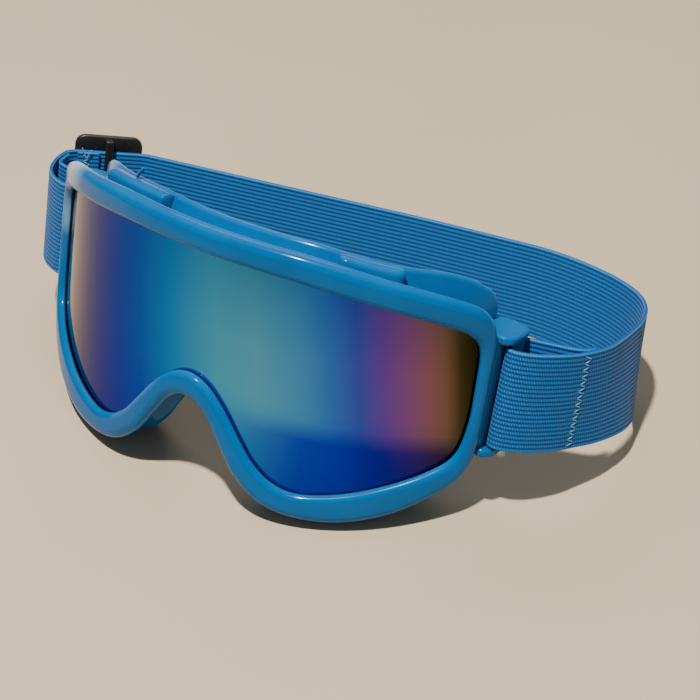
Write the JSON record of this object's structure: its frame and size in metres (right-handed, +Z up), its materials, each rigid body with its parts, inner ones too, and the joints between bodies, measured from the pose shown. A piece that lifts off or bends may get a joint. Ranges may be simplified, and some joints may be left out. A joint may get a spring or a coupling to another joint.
{
  "type": "ski goggles",
  "caption": "Ski goggles: a moulded frame with a curved mirror lens, a foam face pad and an elastic strap looped through side bars and a slide buckle.",
  "frame": {"origin": "bottom middle of the box round the goggles as they stand on their two cheek lobes and the strap", "axes": "+Z up, the goggles look along -Y, and +X is to the right as seen from the front"},
  "size_m": [0.244, 0.1564, 0.1006],
  "materials": {
    "moulding": "glossy soft blue moulding",
    "lens": "blue and violet mirror coating",
    "foam": "dark open foam with a soft face",
    "webbing": "ribbed elastic webbing",
    "buckle": "satin black moulding",
    "thread": "light sewing thread"
  },
  "bodies": {
    "goggles": {"frame": "moulding", "lens": "lens", "face_foam": "foam", "strap_right_loop": "webbing", "strap_left_loop": "webbing", "strap_right_side": "webbing", "strap_left_side": "webbing", "right_seam": "thread"},
    "strap_back": {"strap_back_run": "webbing"},
    "strap_end": {"strap_end_tab": "webbing", "end_seam": "thread"},
    "slide_buckle": {"slider": "buckle"}
  },
  "joints": [
    {"name": "strap_stretch", "type": "slide", "parent": "goggles", "child": "strap_back", "axis": [0, 1, 0], "range_m": [0, 0.06], "stiffness_N_per_m": 100, "deforming": ["strap_right_side", "strap_left_side"]},
    {"name": "buckle_slide", "type": "slide", "parent": "strap_back", "child": "strap_end", "axis": [0.9112, 0.3962, -0.1129], "range_m": [0, 0.05], "deforming": ["strap_back_run"]},
    {"name": "buckle_turn", "type": "hinge", "parent": "strap_end", "child": "slide_buckle", "pos_m": [-0.10966, 0.01912, 0.03363], "axis": [0, 0.274, 0.9617], "range_deg": [-26.7, 0]}
  ],
  "couplings": [
    {"joint": "buckle_turn", "follows": "buckle_slide", "rad_per_m": -9.297}
  ]
}
